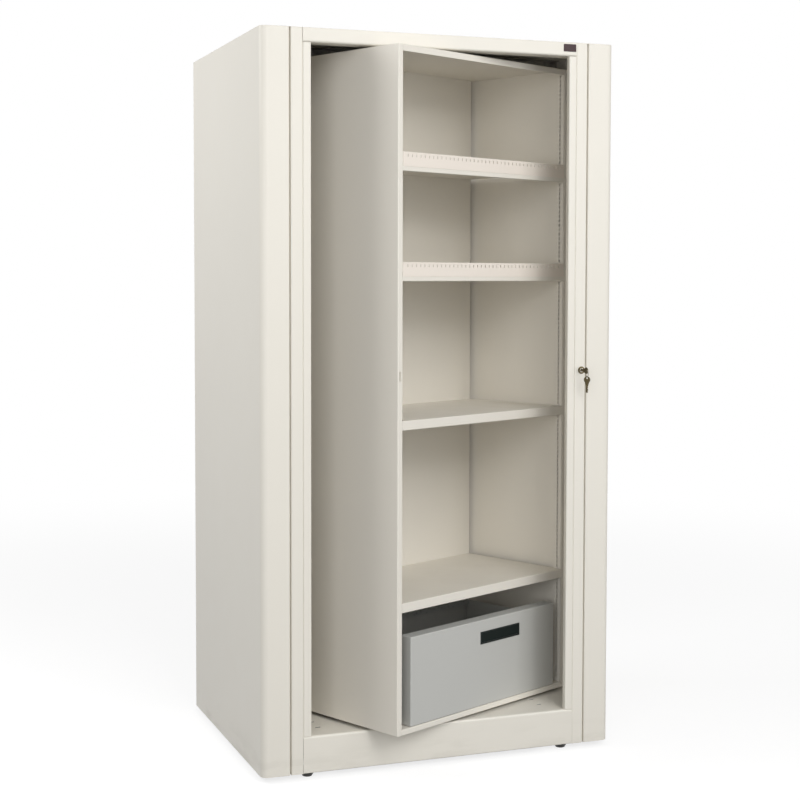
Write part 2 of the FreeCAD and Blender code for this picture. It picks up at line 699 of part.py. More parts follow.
def shelfClips():
    """Clips that hook into the posts and carry each shelf at its four corners."""
    piece = newPiece("shelf_clips", True)
    half = v.clipWidth / 2
    tongue = v.slotWidth / 2 - v.tongueClearance
    for under, level in zip(shelfUnders, shelfTops):
        ledgeTop = level - v.shelfSkin
        ledgeUnder = ledgeTop - v.clipSkin
        leaf = [(postFace, ledgeTop), (postFace - v.clipReach - v.clipSkin, ledgeTop),
                (postFace - v.clipReach - v.clipSkin, ledgeUnder), (postFace - v.clipSkin, ledgeUnder),
                (postFace - v.clipSkin, ledgeTop - v.clipLeaf), (postFace, ledgeTop - v.clipLeaf)]
        slotZ = under + 1.5 * v.slotPitch
        rise = v.slotHeight / 2 - v.tongueClearance
        hook = box(postFace, postFace + v.tongueReach, slotZ - rise, slotZ + rise)
        for low, high, loop in ((slotMiddle - half, slotMiddle + half, leaf),
                                (slotMiddle - tongue, slotMiddle + tongue, hook)):
            pad(piece, "XZ", bothSides(loop), low, high)
            pad(piece, "XZ", bothSides(loop), -1 * high, -1 * low)


def rotorJoists():
    """Two channels between the turntable's upper plate and the pan."""
    piece = newPiece("rotor_joists", True)
    near = (v.panJoistSpacing - v.panJoistWidth) / 2
    far = near + v.panJoistWidth
    path = [(far, rotorBottom), (far, panUnder), (near, panUnder), (near, rotorBottom)]
    pad(piece, "YZ", bothSides(folded(path, v.channelSkin)), -1 * endInside, endInside)


# Drawer and its slides

drawerSide = rotorSide - v.drawerMargin
drawerBottom = panTop + v.drawerGap
drawerTop = drawerBottom + v.drawerHeight
foldEnd = rotorFront + v.frontFold
boxRear = rotorFront + v.drawerDepth
boxUnder = drawerBottom + v.boxRise
boxTop = boxUnder + v.boxHeight
slideFace = drawerSide + v.slideSpace
slideLow = panTop + v.slideRise
slideHigh = slideLow + v.slideHeight
slideEnd = foldEnd + v.slideLength


def channelAcross(wall, mouth, low, high, skin):
    """Channel lying along Y: its web at wall, its flanges reaching to mouth."""
    if float(wall) > float(mouth):
        return folded([(mouth, low), (wall, low), (wall, high), (mouth, high)], skin)
    return folded([(mouth, high), (wall, high), (wall, low), (mouth, low)], skin)


def drawerSlides():
    supports = newPiece("drawer_supports", True)
    high = panTop + v.supportHeight
    bracket = channelAcross(slideFace, postFace, panTop, high, v.slideSkin)
    pad(supports, "XZ", bothSides(bracket), foldEnd, slideEnd)
    outer = newPiece("drawer_outer_slides", True)
    mouth = drawerSide + 2 * v.slideGap
    runner = channelAcross(slideFace, mouth, slideLow, slideHigh, v.slideSkin)
    pad(outer, "XZ", bothSides(runner), foldEnd, slideEnd)
    inner = newPiece("drawer_inner_slides", True)
    clear = v.slideSkin + v.slideGap
    lips = channelAcross(drawerSide, slideFace - clear, slideLow + clear, slideHigh - clear, v.slideSkin)
    pad(inner, "XZ", bothSides(lips), foldEnd, slideEnd)


def drawer():
    face = newPiece("drawer_front", True)
    outline = box(-1 * drawerSide, drawerSide, drawerBottom, drawerTop)
    block = pad(face, "XZ", [outline], rotorFront, foldEnd)
    doc.recompute()
    edges = []
    for number, edge in enumerate(block.Shape.Edges, start=1):
        if edge.BoundBox.YMin < float(foldEnd) - 1e-3:
            edges.append(f"Edge{number}")
    rounding = face.newObject("PartDesign::Fillet", "drawerFrontRounding")
    rounding.Base = (block, edges)
    bind(rounding, "Radius", v.frontBend)
    face.Tip = rounding
    doc.recompute()
    inside = drawerSide - v.drawerSkin
    hollow = box(-1 * inside, inside, drawerBottom + v.drawerSkin, drawerTop - v.drawerSkin)
    pocket(face, "XZ", [hollow], rotorFront + v.drawerSkin, foldEnd + v.drawerSkin)

    tray = newPiece("drawer_box", True)
    path = [(-1 * drawerSide, boxTop), (-1 * drawerSide, boxUnder),
            (drawerSide, boxUnder), (drawerSide, boxTop)]
    pad(tray, "XZ", [folded(path, v.drawerSkin)], foldEnd, boxRear)
    back = box(v.drawerSkin - drawerSide, drawerSide - v.drawerSkin, boxUnder, boxTop)
    pad(tray, "XZ", [back], boxRear - v.drawerSkin, boxRear)

    rails = newPiece("hanging_rails", True)
    low = boxTop - v.railHeight
    span = box(-1 * inside, inside, low, boxTop)
    frontRail = foldEnd + v.railInset
    rearRail = boxRear - v.drawerSkin - v.railInset
    pad(rails, "XZ", [span], frontRail, frontRail + v.railThickness)
    pad(rails, "XZ", [span], rearRail - v.railThickness, rearRail)


def label():
    left = v.labelShift - v.labelWidth / 2
    right = v.labelShift + v.labelWidth / 2
    high = drawerTop - v.labelDrop
    low = high - v.labelHeight
    border = v.labelBorder
    frame = newPiece("label_frame", True)
    window = box(left + border, right - border, low + border, high - border)
    pad(frame, "XZ", [box(left, right, low, high), window], rotorFront - v.labelThickness, rotorFront)
    card = newPiece("label_card", True)
    gap = border + v.cardClearance
    plate = box(left + gap, right - gap, low + gap, high - gap)
    pad(card, "XZ", [plate], rotorFront - v.cardThickness, rotorFront)


# Name plate, lock and keys

bezelFront = front - v.bezelHeight
barrelEnd = front + v.barrelLength
camFace = barrelEnd + v.camGap
bowY = bezelFront - v.keyNeck - v.bowRadius
holeY = bowY - v.bowRadius + v.bowHoleInset
wireZ = lockZ - v.bowHole + v.wireRadius + v.ringClearance


def namePlate():
    piece = newPiece("name_plate")
    right = jambInner - v.badgeInset
    high = top - v.badgeDrop
    outline = box(right - v.badgeWidth, right, high - v.badgeHeight, high)
    pad(piece, "XZ", [outline], front - v.badgeThickness, front)


def lock():
    shell = newPiece("lock_body")
    bore, barrel = v.plugRadius + v.plugClearance, v.barrelRadius
    profile = [(bore, bezelFront), (v.bezelRadius, bezelFront), (v.bezelRadius, front), (barrel, front),
               (barrel, barrelEnd), (bore, barrelEnd)]
    turned(shell, "XY", [profile], lockZ, lockX)

    nut = newPiece("lock_nut")
    ring = [hexagon(lockX, lockZ, v.lockNutAcross), Circle(lockX, lockZ, v.barrelRadius + v.threadClearance)]
    pad(nut, "XZ", ring, frontInside, frontInside + v.lockNutHeight)

    plug = newPiece("lock_plug")
    pad(plug, "XZ", [Circle(lockX, lockZ, v.plugRadius)], bezelFront, camFace)
    pad(plug, "XZ", [Circle(lockX, lockZ, v.tailRadius)], camFace, camFace + v.tailLength)
    wide, tall = v.keyThickness / 2 + v.keyClearance, v.keyWidth / 2 + v.keyClearance
    slotEnd = bezelFront + v.keyDepth + v.keyClearance
    keyway = box(lockX - wide, lockX + wide, lockZ - tall, lockZ + tall)
    pocket(plug, "XZ", [keyway], bezelFront - v.skin, slotEnd)

    cam = newPiece("lock_cam")
    half = v.camWidth / 2
    arm = box(lockX - half, lockX + half, lockZ - v.camLength, lockZ + half)
    hole = Circle(lockX, lockZ, v.tailRadius + v.camClearance)
    pad(cam, "XZ", [arm, hole], camFace, camFace + v.camThickness)


def flatKey(name, alongY, bow, hole, tip):
    """Key cut from plate: round bow with a hole, and a blade that points along Y or down."""
    piece = newPiece(name)
    half, blade = v.keyThickness / 2, v.keyWidth / 2
    eye = Circle(*hole, v.bowHole)
    pad(piece, "YZ", [Circle(*bow, v.bowRadius), eye], lockX - half, lockX + half)
    if alongY:
        shank = box(bow[0] + v.bowRadius / 2, tip, bow[1] - blade, bow[1] + blade)
    else:
        shank = box(bow[0] - blade / 2, bow[0] + blade / 2, tip, bow[1] - v.bowRadius / 2)
    pad(piece, "YZ", [shank], lockX - half, lockX + half)


def keys():
    flatKey("key", True, (bowY, lockZ), (holeY, lockZ), bezelFront + v.keyDepth)
    ring = newPiece("key_ring")
    ringZ = wireZ - v.ringRadius
    wire = Circle(v.ringRadius, 0, v.wireRadius)
    drawing = newSketch(ring, "XY", ringZ, [wire], lockX, holeY)
    hoop = ring.newObject("PartDesign::Revolution", "hoop")
    hoop.Profile = drawing
    hoop.ReferenceAxis = (drawing, ["V_Axis"])
    hoop.Angle = 360
    spareHole = ringZ - v.ringRadius - v.bowHole + v.wireRadius + v.ringClearance
    spareBow = spareHole - v.bowRadius + v.bowHoleInset
    flatKey("spare_key", False, (holeY, spareBow), (holeY, spareHole), spareBow - v.spareBlade - v.bowRadius)


sidePanel("left_side_panel", False)
sidePanel("right_side_panel", True)
topPanel()
header("front_header", False)
header("rear_header", True)
jambs()
openingStrips()
base("front_base", False)
base("rear_base", True)
floorPlate()
floorChannels()
frameScrews()
feet()
turntable()
upperPivot()
endPanel("left_end_panel", False)
endPanel("right_end_panel", True)
lippedPlate("rotor_top", rotorTop, v.topLip, True)
lippedPlate("rotor_pan", panTop, v.panDepth, False)
posts()
shelves()
dividers()
fileLips()
shelfClips()
rotorJoists()
drawerSlides()
drawer()
label()
namePlate()
lock()
keys()
doc.recompute()

for thing in doc.Objects:
    if "Invalid" in thing.State or "Error" in thing.State:
        raise RuntimeError(f"{thing.Label} did not build")
for feature in cuts:
    if feature.BaseFeature.Shape.Volume - feature.Shape.Volume < 1e-6:
        raise RuntimeError(f"{feature.Label} cuts nothing")
for piece in pieces:
    if piece.Shape.isNull() or not piece.Shape.isValid():
        raise RuntimeError(f"{piece.Label} has no sound shape")

os.makedirs("parts", exist_ok=True)
for piece in pieces:
    piece.Shape.exportStep(f"parts/{piece.Label}.step")
    print(f"{piece.Label}: {len(piece.Shape.Solids)} solids, {piece.Shape.Volume / 1000:.2f} cm3")
print(f"{len(pieces)} pieces")
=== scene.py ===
import json
from math import cos, pi, radians, sin

import bmesh
import bpy
from mathutils import Matrix, Vector

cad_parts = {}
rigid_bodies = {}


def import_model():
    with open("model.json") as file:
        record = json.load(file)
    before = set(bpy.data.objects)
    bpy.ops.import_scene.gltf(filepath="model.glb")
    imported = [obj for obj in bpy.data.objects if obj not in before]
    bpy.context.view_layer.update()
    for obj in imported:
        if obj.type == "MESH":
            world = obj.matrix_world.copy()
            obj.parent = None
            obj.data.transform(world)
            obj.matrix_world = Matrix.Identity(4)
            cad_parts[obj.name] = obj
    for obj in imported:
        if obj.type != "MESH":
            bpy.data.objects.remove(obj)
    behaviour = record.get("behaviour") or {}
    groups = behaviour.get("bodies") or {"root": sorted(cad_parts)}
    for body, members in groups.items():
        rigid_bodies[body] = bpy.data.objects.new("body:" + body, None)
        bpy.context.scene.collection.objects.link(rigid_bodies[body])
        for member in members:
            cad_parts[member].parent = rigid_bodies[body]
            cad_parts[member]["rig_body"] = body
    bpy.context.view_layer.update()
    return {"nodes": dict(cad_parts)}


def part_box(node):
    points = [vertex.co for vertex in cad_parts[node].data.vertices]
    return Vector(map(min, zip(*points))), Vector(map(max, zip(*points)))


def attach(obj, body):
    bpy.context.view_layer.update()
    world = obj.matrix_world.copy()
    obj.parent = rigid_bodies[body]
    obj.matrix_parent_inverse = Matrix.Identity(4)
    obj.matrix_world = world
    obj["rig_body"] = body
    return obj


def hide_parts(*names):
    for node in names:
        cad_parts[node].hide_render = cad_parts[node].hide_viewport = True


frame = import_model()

nodes = frame["nodes"]
scene = bpy.context.scene


# One output of a node. Sums and products of these add Math nodes.
class Wire:
    def __init__(self, graph, socket):
        self.graph, self.socket = graph, socket

    def math(self, operation, *values):
        return self.graph.add("ShaderNodeMath", {"operation": operation}, dict(enumerate(values)))

    def __add__(self, other):
        return self.math("ADD", self, other)

    def __sub__(self, other):
        return self.math("SUBTRACT", self, other)

    def __rsub__(self, other):
        return self.math("SUBTRACT", other, self)

    def __mul__(self, other):
        return self.math("MULTIPLY", self, other)

    def __truediv__(self, other):
        return self.math("DIVIDE", self, other)

    def __rtruediv__(self, other):
        return self.math("DIVIDE", other, self)

    __radd__ = __add__
    __rmul__ = __mul__

    def within(self, low, high):
        return self.math("MINIMUM", self.math("MAXIMUM", self, low), high)


# A node tree with one way to add a node: its settings first, then its sockets
class Graph:
    def __init__(self, tree):
        self.tree = tree

    def add(self, kind, settings=None, sockets=None, output=0):
        node = self.tree.nodes.new(kind)
        for name, value in (settings or {}).items():
            setattr(node, name, value)
        for key, value in (sockets or {}).items():
            for wire in value if isinstance(value, list) else [value]:
                if isinstance(wire, Wire):
                    self.tree.links.new(wire.socket, node.inputs[key])
                else:
                    node.inputs[key].default_value = wire
        return Wire(self, node.outputs[output]) if len(node.outputs) else None


# A material on the Principled shader, with the patterns that the finishes share
class Finish(Graph):
    def __init__(self, name, **constants):
        self.material = bpy.data.materials.new(name)
        self.material.use_nodes = True
        super().__init__(self.material.node_tree)
        self.shader = self.tree.nodes["Principled BSDF"]
        for key, value in constants.items():
            self.feed(key.replace("_", " "), value)
        self.place = self.add("ShaderNodeTexCoord", output="Object")

    def feed(self, key, value):
        if isinstance(value, Wire):
            self.tree.links.new(value.socket, self.shader.inputs[key])
        else:
            self.shader.inputs[key].default_value = value

    def stretched(self, scale):
        return self.add("ShaderNodeMapping", {}, {"Vector": self.place, "Scale": scale})

    def noise(self, scale, detail=2.0, vector=None):
        sockets = {"Vector": vector or self.place, "Scale": scale, "Detail": detail}
        return self.add("ShaderNodeTexNoise", {}, sockets, "Fac")

    def cells(self, scale):
        return self.add("ShaderNodeTexVoronoi", {}, {"Vector": self.place, "Scale": scale}, "Distance")

    def ramp(self, value, low, high):
        sockets = {"Value": value, "From Min": low, "From Max": high}
        return self.add("ShaderNodeMapRange", {"interpolation_type": "SMOOTHSTEP"}, sockets)

    # The Mix node's colour sockets are numbers 6 and 7, and its colour output is number 2
    def mix(self, factor, first, second):
        picked = {0: factor, 6: first, 7: second}
        wanted = {key: (*value, 1) if isinstance(value, tuple) else value for key, value in picked.items()}
        return self.add("ShaderNodeMix", {"data_type": "RGBA"}, wanted, 2)

    def height(self):
        return self.add("ShaderNodeSeparateXYZ", {}, {0: self.place}, "Z")

    def upward(self):
        normal = self.add("ShaderNodeNewGeometry", output="Normal")
        return self.add("ShaderNodeSeparateXYZ", {}, {0: normal}, "Z")

    def rim(self):
        return self.add("ShaderNodeAttribute", {"attribute_name": "rim"}, output="Fac")

    def bump(self, height, distance, under=None):
        sockets = {"Height": height, "Distance": distance}
        if under:
            sockets["Normal"] = under
        return self.add("ShaderNodeBump", {}, sockets)


def scaled(colour, factor):
    return tuple(min(1.0, part * factor) for part in colour)


# Powder coat: fine orange peel, slow tone drift, dust on ledges, scuffs by the floor, a painted highlight
# along the rims and worn patches on them
coat = {
    "drift": 0.012, "driftScale": 1.3,
    "speck": 0.08, "speckScale": 420,
    "dust": 0.14, "dustScale": 6.0, "dustTone": (0.62, 0.59, 0.53),
    "scuff": 0.12, "scuffFrom": 0.02, "scuffTo": 0.11, "scuffTone": (0.36, 0.33, 0.27),
    "thin": 0.3, "wear": 0.4, "wearScale": 85, "wearTone": (0.5, 0.49, 0.46),
    "peel": 0.00004, "peelScale": 650, "wave": 0.0008, "waveScale": 2.1,
}


def powderCoat(name, colour, roughness):
    finish = Finish(name, Specular_IOR_Level=0.5)
    drift = finish.ramp(finish.noise(coat["driftScale"], 3.0), 0.3, 0.7)
    tone = finish.mix(drift, scaled(colour, 1 - coat["drift"]), scaled(colour, 1 + coat["drift"]))
    speck = finish.ramp(finish.noise(coat["speckScale"], 1.0), 0.62, 0.74)
    tone = finish.mix(speck * coat["speck"], tone, scaled(colour, 0.8))
    ledge = finish.ramp(finish.upward(), 0.75, 1.0)
    dust = ledge * finish.ramp(finish.noise(coat["dustScale"], 6.0), 0.35, 0.7)
    tone = finish.mix(dust * coat["dust"], tone, coat["dustTone"])
    smear = finish.noise(9.0, 7.0, finish.stretched((1.0, 1.0, 3.5)))
    low = 1 - finish.ramp(finish.height(), coat["scuffFrom"], coat["scuffTo"])
    low = low * finish.ramp(smear, 0.45, 0.7)
    tone = finish.mix(low * coat["scuff"], tone, coat["scuffTone"])
    worn = finish.rim() * finish.ramp(finish.noise(coat["wearScale"], 4.0), 0.6, 0.68)
    # Painted highlight: every rim is lightened to stand in for the light its rounded edge catches
    tone = finish.mix(finish.rim() * coat["thin"], tone, scaled(colour, 1.1))
    tone = finish.mix(worn * coat["wear"], tone, coat["wearTone"])
    finish.feed("Base Color", tone)
    finish.feed("Roughness", finish.noise(14.0, 4.0) * 0.12 + (roughness - 0.06) + dust * 0.15 + low * 0.1)
    wave = finish.bump(finish.noise(coat["waveScale"], 0.0), coat["wave"])
    finish.feed("Normal", finish.bump(finish.noise(coat["peelScale"], 2.0), coat["peel"], wave))
    return finish.material


# Bare or plated metal: streaks along its grain, darker tarnish in patches, and a painted highlight that
# brightens the rims
def metal(name, colour, roughness, grain=(1.0, 1.0, 1.0), scale=240.0, tarnish=0.25,
          dark=(0.09, 0.08, 0.07)):
    finish = Finish(name, Metallic=1.0)
    patches = finish.ramp(finish.noise(38, 5.0), 0.45, 0.75)
    streaks = finish.noise(scale, 3.0, finish.stretched(grain))
    tone = finish.mix(streaks, scaled(colour, 0.86), scaled(colour, 1.08))
    # Painted highlight: the rims are brightened to stand in for the light their edges catch
    tone = finish.mix(finish.rim() * 0.4, tone, scaled(colour, 1.35))
    finish.feed("Base Color", finish.mix(patches * tarnish, tone, dark))
    finish.feed("Roughness", streaks * 0.16 + patches * 0.14 + (roughness - 0.08))
    finish.feed("Normal", finish.bump(streaks, 0.00003))
    return finish.material


# Zinc plate with its crystal flowers
def galvanised(name, colour, roughness):
    finish = Finish(name, Metallic=0.9)
    flowers = finish.cells(90)
    fine = finish.noise(300, 3.0)
    tone = finish.mix(finish.ramp(flowers, 0.05, 0.6), scaled(colour, 0.8), colour)
    finish.feed("Base Color", finish.mix(fine * 0.35, tone, scaled(colour, 0.7)))
    finish.feed("Roughness", flowers * 0.2 + fine * 0.1 + (roughness - 0.1))
    finish.feed("Normal", finish.bump(fine, 0.00003))
    return finish.material


# Grained plastic, enamel or card with a little lint, and a painted highlight that lightens the rims
def moulded(name, colour, roughness, grain=500.0, lint=0.12, gloss=0.5):
    finish = Finish(name, Specular_IOR_Level=gloss)
    cloud = finish.noise(25, 4.0)
    tone = finish.mix(cloud, scaled(colour, 0.7), scaled(colour, 1.4))
    dust = finish.ramp(finish.noise(60, 5.0), 0.55, 0.75)
    # Painted highlight: the rims are lightened to stand in for the light their edges catch
    tone = finish.mix(finish.rim() * 0.3, tone, scaled(colour, 2.2))
    finish.feed("Base Color", finish.mix(dust * lint, tone, (0.35, 0.33, 0.3)))
    finish.feed("Roughness", cloud * 0.18 + dust * 0.1 + (roughness - 0.09))
    finish.feed("Normal", finish.bump(finish.cells(grain), 0.00006))
    return finish.material


finishes = {
    "housing_paint": powderCoat("warm white powder coat", (0.80, 0.767, 0.69), 0.42),
    "rotor_paint": powderCoat("bone powder coat", (0.80, 0.762, 0.685), 0.42),
    "lip_paint": powderCoat("cream powder coat", (0.84, 0.77, 0.69), 0.4),
    "drawer_paint": powderCoat("dove grey powder coat", (0.52, 0.52, 0.495), 0.46),
    "plain_steel": metal("mill steel", (0.42, 0.41, 0.39), 0.48, grain=(1.0, 6.0, 1.0), scale=60.0,
                         tarnish=0.35),
    "zinc_steel": galvanised("zinc plate", (0.62, 0.63, 0.62), 0.38),
    "ball_steel": metal("polished bearing steel", (0.72, 0.72, 0.72), 0.14, tarnish=0.05),
    "cage_brass": metal("stamped brass", (0.78, 0.58, 0.27), 0.34),
    "bush_bronze": metal("oiled bronze", (0.62, 0.40, 0.22), 0.4),
    "black_plastic": moulded("black nylon", (0.03, 0.028, 0.026), 0.5),
    "badge": moulded("dark enamel", (0.06, 0.035, 0.038), 0.4, grain=700.0, lint=0.03, gloss=0.2),
    "label_black": moulded("black card", (0.009, 0.013, 0.012), 0.7, grain=900.0, lint=0.02, gloss=0.1),
    "label_steel": moulded("black enamel", (0.012, 0.016, 0.015), 0.5, grain=900.0, lint=0.02, gloss=0.2),
    "lock_nickel": metal("satin nickel", (0.60, 0.57, 0.52), 0.26, grain=(1.0, 1.0, 9.0), scale=500.0),
    "key_nickel": metal("aged brass", (0.11, 0.09, 0.05), 0.36, grain=(1.0, 9.0, 1.0), scale=420.0,
                        tarnish=0.4, dark=(0.03, 0.025, 0.015)),
}
for node in nodes.values():
    node["paintSlot"] = node.material_slots[0].material.name
    node.material_slots[0].material = finishes[node["paintSlot"]]
print("finishes ready:", len(finishes))


def pieceName(node, ending):
    words = node.split("_")
    return words[0] + "".join(word.capitalize() for word in words[1:]) + ending


def addPiece(name, mesh, slotName, body, replaced=()):
    piece = bpy.data.objects.new(name, mesh)
    scene.collection.objects.link(piece)
    mesh.name = name
    mesh.materials.clear()
    mesh.materials.append(finishes[slotName])
    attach(piece, body)
    if replaced:
        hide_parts(*replaced)


def linked(name, mesh):
    thing = bpy.data.objects.new(name, mesh)
    scene.collection.objects.link(thing)
    return thing


# The plain mesh that an object's modifiers give; the object goes
def baked(thing):
    bpy.context.view_layer.update()
    graph = bpy.context.evaluated_depsgraph_get()
    mesh = bpy.data.meshes.new_from_object(thing.evaluated_get(graph))
    bpy.data.objects.remove(thing)
    return mesh


# Angles in degrees: edges sharper than "sharp" are eased, faces within "flat" become one
edges = {"sharp": 38, "flat": 0.4, "weld": 0.000002, "shading": 100}


# Rounds the sharp edges of a mesh and marks the new narrow faces in the attribute "rim"
def rounded(name, mesh, width, steps=2):
    mesh.materials.clear()
    for extra in ("face", "edge"):
        mesh.materials.append(bpy.data.materials.get(extra) or bpy.data.materials.new(extra))
    mesh.polygons.foreach_set("use_smooth", [True] * len(mesh.polygons))
    thing = linked(name, mesh)
    bevel = thing.modifiers.new("edges", "BEVEL")
    bevel.width, bevel.segments, bevel.material = width, steps, 1
    bevel.limit_method, bevel.angle_limit = "ANGLE", radians(edges["sharp"])
    bevel.use_clamp_overlap = False
    thing.modifiers.new("even", "WEIGHTED_NORMAL").weight = edges["shading"]
    result = baked(thing)
    marks = [float(face.material_index) for face in result.polygons]
    result.attributes.new("rim", "FLOAT", "FACE").data.foreach_set("value", marks)
    result.polygons.foreach_set("material_index", [0] * len(marks))
    return result


def plainMesh(name, shape):
    mesh = bpy.data.meshes.new(name)
    shape.to_mesh(mesh)
    shape.free()
    return mesh


# A copy of a CAD node's loose triangles, joined into whole flat faces
def merged(node):
    shape = bmesh.new()
    shape.from_mesh(nodes[node].data)
    bmesh.ops.remove_doubles(shape, verts=shape.verts, dist=edges["weld"])
    flat = radians(edges["flat"])
    bmesh.ops.dissolve_limit(shape, angle_limit=flat, verts=shape.verts, edges=shape.edges)
    mesh = bpy.data.meshes.new(node + "Shape")
    mesh.from_pydata([v.co for v in shape.verts], [], [[v.index for v in face.verts] for face in shape.faces])
    shape.free()
    return mesh


def numbered(name, count):
    return [f"{name}_{number}" for number in range(1, count + 1)]


# Sheets, brackets and small fittings keep their shape and get eased edges, by width of the easing
eased = {
    0.0003: ["left_side_panel", "right_side_panel", "top_panel", "front_header", "rear_header",
             "front_left_jamb", "front_right_jamb", "rear_jambs", "opening_strips", "front_base", "rear_base",
             "left_end_panel", "right_end_panel", "rotor_top", "rotor_pan", "drawer_front", "drawer_box",
             "floor_plate", "floor_channels", "rotor_joists", "top_pivot_beam", "drawer_supports"],
    0.0002: [*numbered("shelf", 4), "file_lips", "rotor_posts", *numbered("tier_divider", 5), "shelf_clips",
             "drawer_outer_slides", "drawer_inner_slides", "label_card", "label_frame", "lock_cam",
             "bearing_cage"],
    0.0005: ["corner_gussets", "foot_nuts", "foot_pads", "lock_nut", "lock_plug", "pivot_pin",
             "hanging_rails", "top_bush"],
}
for width, names in eased.items():
    for name in names:
        mesh = rounded(name, merged(name), width)
        addPiece(pieceName(name, "Eased"), mesh, nodes[name]["paintSlot"], nodes[name]["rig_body"], [name])
lockRing = {"easing": 0.0011, "steps": 3}
mesh = rounded("lockRing", merged("lock_body"), lockRing["easing"], lockRing["steps"])
addPiece("lockRing", mesh, "key_nickel", "housing", ["lock_body"])
print("edges eased on", sum(len(names) for names in eased.values()), "nodes")


# A Geometry Nodes tree with named sizes; what it grows becomes a plain mesh
class Growth(Graph):
    def __init__(self, name, sizes):
        super().__init__(bpy.data.node_groups.new(name, "GeometryNodeTree"))
        sockets = self.tree.interface
        sockets.new_socket("Geometry", in_out="OUTPUT", socket_type="NodeSocketGeometry")
        sockets.new_socket("Places", in_out="INPUT", socket_type="NodeSocketGeometry")
        self.sizes, self.keys = sizes, {}
        for label, value in sizes.items():
            kind = "NodeSocketInt" if isinstance(value, int) else "NodeSocketFloat"
            self.keys[label] = sockets.new_socket(label, in_out="INPUT", socket_type=kind).identifier
        self.entry = self.tree.nodes.new("NodeGroupInput")

    def size(self, label):
        return Wire(self, self.entry.outputs[label])

    def vector(self, x, y, z):
        return self.add("ShaderNodeCombineXYZ", {}, {"X": x, "Y": y, "Z": z})

    def moved(self, geometry, offset):
        return self.add("GeometryNodeTransform", {}, {"Geometry": geometry, "Translation": offset})

    # One copy at each place, its Z along the place's attribute "facing"
    def atPlaces(self, shape):
        stored = {"data_type": "FLOAT_VECTOR"}
        facing = self.add("GeometryNodeInputNamedAttribute", stored, {"Name": "facing"})
        turn = self.add("FunctionNodeAlignRotationToVector", {"axis": "Z"}, {"Vector": facing})
        sockets = {"Points": self.size("Places"), "Instance": shape, "Rotation": turn}
        return self.add("GeometryNodeInstanceOnPoints", {}, sockets)

    def ending(self, geometry, slotName):
        real = self.add("GeometryNodeRealizeInstances", {}, {"Geometry": geometry})
        done = self.add("GeometryNodeSetMaterial", {}, {"Geometry": real, "Material": finishes[slotName]})
        self.add("NodeGroupOutput", {}, {"Geometry": done})

    def grown(self, name, places, facings=None):
        mesh = bpy.data.meshes.new(name)
        mesh.from_pydata(places, [], [])
        flat = [part for facing in (facings or [(0, 0, 1)] * len(places)) for part in facing]
        mesh.attributes.new("facing", "FLOAT_VECTOR", "POINT").data.foreach_set("vector", flat)
        thing = linked(name, mesh)
        growth = thing.modifiers.new("growth", "NODES")
        growth.node_group = self.tree
        for label, value in self.sizes.items():
            growth[self.keys[label]] = value
        return baked(thing)


# Pan-head screws through the hems, with a cross recess
screw = {
    "Head Radius": 0.004, "Head Height": 0.0025, "Head Sides": 32, "Head Rings": 4, "Crown": 0.45,
    "Shank Radius": 0.002, "Shank Sides": 20, "Reach": 0.008,
    "Recess Length": 0.004, "Recess Width": 0.0009, "Weld": 0.00002,
}
tree = Growth("frameScrews", screw)
headRadius, headHeight, reach = tree.size("Head Radius"), tree.size("Head Height"), tree.size("Reach")
blank = tree.add("GeometryNodeMeshCylinder", {"fill_type": "TRIANGLE_FAN"}, {
    "Vertices": tree.size("Head Sides"), "Side Segments": 2, "Fill Segments": tree.size("Head Rings"),
    "Radius": headRadius, "Depth": headHeight})
here = tree.add("GeometryNodeInputPosition")
x, y, z = (tree.add("ShaderNodeSeparateXYZ", {}, {0: here}, axis) for axis in "XYZ")
drop = (x * x + y * y) / (headRadius * headRadius) * headHeight * tree.size("Crown")
onTop = z.math("GREATER_THAN", z, headHeight * 0.25)  # the top face alone is domed
lift = tree.vector(0.0, 0.0, headHeight * 0.5 - drop * onTop)
head = tree.add("GeometryNodeSetPosition", {}, {"Geometry": blank, "Offset": lift})
arms = []
for across, along in (("Recess Length", "Recess Width"), ("Recess Width", "Recess Length")):
    armSize = tree.vector(tree.size(across), tree.size(along), headHeight)
    bar = tree.add("GeometryNodeMeshCube", {}, {"Size": armSize})
    arms.append(tree.moved(bar, tree.vector(0.0, 0.0, headHeight)))
cut = {"operation": "DIFFERENCE", "solver": "EXACT"}
head = tree.add("GeometryNodeMeshBoolean", cut, {"Mesh 1": head, "Mesh 2": arms})
head = tree.add("GeometryNodeMergeByDistance", {}, {"Geometry": head, "Distance": tree.size("Weld")})
shank = tree.add("GeometryNodeMeshCylinder", {}, {
    "Vertices": tree.size("Shank Sides"), "Radius": tree.size("Shank Radius"), "Depth": reach})
shank = tree.moved(shank, tree.vector(0.0, 0.0, reach * -0.5))
whole = tree.add("GeometryNodeJoinGeometry", {}, {"Geometry": [head, shank]})
tree.ending(tree.atPlaces(whole), "zinc_steel")
low, high = (Vector(corner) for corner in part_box("frame_screws"))
seat = high.x - screw["Head Height"]
levels = [low.z + screw["Head Radius"], (low.z + high.z) / 2, high.z - screw["Head Radius"]]
away = high.y - screw["Head Radius"]
places = [(side * seat, face * away, level) for side in (-1, 1) for face in (-1, 1) for level in levels]
mesh = tree.grown("frameScrews", places, [(1.0 if place[0] > 0 else -1.0, 0, 0) for place in places])
addPiece("frameScrews", mesh, "zinc_steel", "housing", ["frame_screws"])


